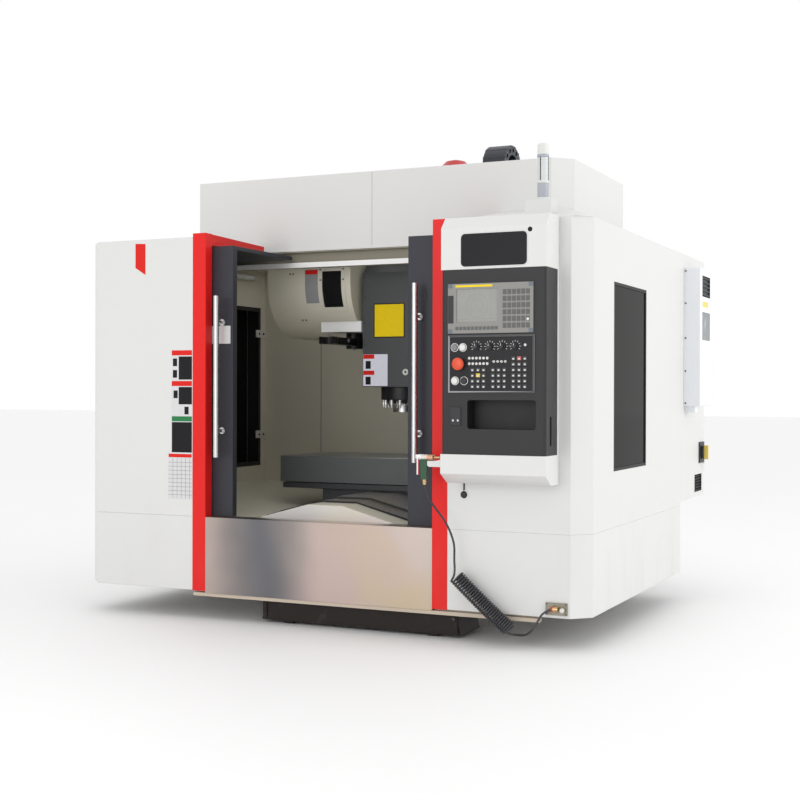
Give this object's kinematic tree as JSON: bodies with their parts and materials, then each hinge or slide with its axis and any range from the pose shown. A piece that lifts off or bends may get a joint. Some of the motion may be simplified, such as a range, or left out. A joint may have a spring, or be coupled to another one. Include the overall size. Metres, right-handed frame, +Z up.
{
  "type": "cnc machining center",
  "caption": "Vertical machining center in a white sheet enclosure with red pillars, sliding dark doors, T-slot table, spindle head, tool changer and operator console.",
  "frame": {"origin": "on the floor, under the middle of the object's box", "axes": "+X to the operator's right, +Y from the front of the machine to its back, +Z up"},
  "size_m": [2.898, 2.6403, 2.6199],
  "materials": {
    "white_panel": "satin powder coat",
    "red_panel": "satin powder coat",
    "grey_door": "fine-textured powder coat",
    "dark_case": "fine-textured powder coat",
    "beige_cover": "satin paint",
    "liner_grey": "satin paint",
    "head_grey": "satin paint on a casting",
    "casting": "painted casting",
    "machined": "ground and milled",
    "stainless": "long-grain brushed",
    "steel": "bright ground",
    "black_oxide": "black oxide",
    "black_paint": "gloss paint",
    "glass": "clear laminated",
    "chrome": "polished",
    "brass": "machined",
    "disc_alloy": "machined",
    "black_plastic": "fine grain",
    "panel_plastic": "printed film",
    "lens_plastic": "clear moulding",
    "red_plastic": "moulded",
    "green_plastic": "moulded",
    "white_plastic": "moulded",
    "grey_plastic": "moulded",
    "hose_black": "smooth polyurethane"
  },
  "bodies": {
    "machine": {"base_casting": "casting", "column": "casting", "levelling_feet": "steel", "coolant_tank": "black_paint", "skirt_left": "white_panel", "skirt_right": "white_panel", "enclosure_left": "white_panel", "enclosure_right": "white_panel", "rear_panel": "white_panel", "top_guard": "white_panel", "pillar_left": "red_panel", "pillar_right": "red_panel", "apron": "stainless", "door_rail": "stainless", "inner_liner": "liner_grey", "window_left": "glass", "window_right": "glass", "cabinet": "white_panel", "heat_exchanger": "white_panel", "console_case": "dark_case", "console_shell": "white_panel", "display_unit": "black_plastic", "operator_panel": "panel_plastic", "beacon": "lens_plastic", "atc_gearbox": "white_panel", "magazine_cover": "beige_cover", "z_motor": "black_paint", "cable_carrier": "black_plastic", "air_port": "brass", "air_hose": "hose_black", "air_hose_coil": "hose_black", "air_hose_tail": "hose_black", "air_gun": "green_plastic"},
    "left_door": {"door_left": "grey_door", "door_left_window": "glass", "door_left_handle": "steel"},
    "right_door": {"door_right": "grey_door", "door_right_window": "glass", "door_right_handle": "steel"},
    "saddle": {"saddle": "casting", "way_cover_front": "stainless", "way_cover_rear": "stainless"},
    "way_cover": {"way_cover_middle": "stainless"},
    "table": {"table": "machined"},
    "head": {"spindle_head": "head_grey"},
    "spindle": {"spindle": "steel"},
    "magazine": {"magazine_disc": "disc_alloy"},
    "arm": {"change_arm": "black_oxide"},
    "cabinet_door": {"cabinet_door": "white_panel"},
    "main_switch": {"switch_handle": "red_plastic"},
    "estop": {"estop_button": "red_plastic"},
    "cycle_start": {"cycle_start_button": "green_plastic"},
    "feed_hold": {"feed_hold_button": "red_plastic"},
    "power_on": {"power_on_button": "white_plastic"},
    "power_off": {"power_off_button": "grey_plastic"},
    "mode_knob": {"mode_knob": "black_plastic"},
    "feed_knob": {"feed_knob": "black_plastic"},
    "rapid_knob": {"rapid_knob": "black_plastic"},
    "spindle_knob": {"spindle_knob": "black_plastic"},
    "gun_trigger": {"air_gun_trigger": "chrome"}
  },
  "joints": [
    {"name": "left_door_slide", "type": "slide", "parent": "machine", "child": "left_door", "axis": [1, 0, 0], "range_m": [0, 0.5145]},
    {"name": "right_door_slide", "type": "slide", "parent": "machine", "child": "right_door", "axis": [-1, 0, 0], "range_m": [0, 0.4755]},
    {"name": "y_axis", "type": "slide", "parent": "machine", "child": "saddle", "axis": [0, 1, 0], "range_m": [-0.3, 0.3]},
    {"name": "way_cover_slide", "type": "slide", "parent": "machine", "child": "way_cover", "axis": [0, 1, 0], "range_m": [-0.15, 0.15]},
    {"name": "x_axis", "type": "slide", "parent": "saddle", "child": "table", "axis": [1, 0, 0], "range_m": [-0.5, 0.5]},
    {"name": "z_axis", "type": "slide", "parent": "machine", "child": "head", "axis": [0, 0, 1], "range_m": [-0.15, 0.45], "deforming": ["cable_carrier"]},
    {"name": "spindle_turn", "type": "hinge", "parent": "head", "child": "spindle", "pos_m": [-0.049, -0.03785, 1.23], "axis": [0, 0, 1], "continuous": true},
    {"name": "magazine_turn", "type": "hinge", "parent": "machine", "child": "magazine", "pos_m": [-0.609, -0.00785, 1.787], "axis": [1, 0, 0], "continuous": true},
    {"name": "arm_swing", "type": "hinge", "parent": "machine", "child": "arm", "pos_m": [-0.367, -0.03785, 1.46], "axis": [0, 0, 1], "range_deg": [0, 26]},
    {"name": "cabinet_door_hinge", "type": "hinge", "parent": "machine", "child": "cabinet_door", "pos_m": [1.349, 1.31315, 1.262], "axis": [0, 0, -1], "range_deg": [0, 110]},
    {"name": "main_switch_turn", "type": "hinge", "parent": "machine", "child": "main_switch", "pos_m": [1.366, 1.22715, 0.814], "axis": [1, 0, 0], "range_deg": [0, 90]},
    {"name": "estop_press", "type": "slide", "parent": "machine", "child": "estop", "axis": [0, 1, 0], "range_m": [0, 0.006], "stiffness_N_per_m": 900},
    {"name": "cycle_start_press", "type": "slide", "parent": "machine", "child": "cycle_start", "axis": [0, 1, 0], "range_m": [0, 0.004], "stiffness_N_per_m": 600},
    {"name": "feed_hold_press", "type": "slide", "parent": "machine", "child": "feed_hold", "axis": [0, 1, 0], "range_m": [0, 0.004], "stiffness_N_per_m": 600},
    {"name": "power_on_press", "type": "slide", "parent": "machine", "child": "power_on", "axis": [0, 1, 0], "range_m": [0, 0.004], "stiffness_N_per_m": 600},
    {"name": "power_off_press", "type": "slide", "parent": "machine", "child": "power_off", "axis": [0, 1, 0], "range_m": [0, 0.004], "stiffness_N_per_m": 600},
    {"name": "mode_knob_turn", "type": "hinge", "parent": "machine", "child": "mode_knob", "pos_m": [0.884, -1.29285, 1.38], "axis": [0, -1, 0], "range_deg": [-120, 120]},
    {"name": "feed_knob_turn", "type": "hinge", "parent": "machine", "child": "feed_knob", "pos_m": [0.949, -1.29285, 1.38], "axis": [0, -1, 0], "range_deg": [-140, 140]},
    {"name": "rapid_knob_turn", "type": "hinge", "parent": "machine", "child": "rapid_knob", "pos_m": [1.008, -1.29285, 1.38], "axis": [0, -1, 0], "range_deg": [-90, 90]},
    {"name": "spindle_knob_turn", "type": "hinge", "parent": "machine", "child": "spindle_knob", "pos_m": [1.069, -1.29285, 1.38], "axis": [0, -1, 0], "range_deg": [-120, 120]},
    {"name": "gun_trigger_pull", "type": "hinge", "parent": "machine", "child": "gun_trigger", "pos_m": [0.563, -1.20785, 0.8753], "axis": [0, -1, 0], "range_deg": [0, 6], "stiffness_Nm_per_rad": 0.4}
  ],
  "couplings": [
    {"joint": "way_cover_slide", "follows": "y_axis", "ratio": 0.5}
  ]
}
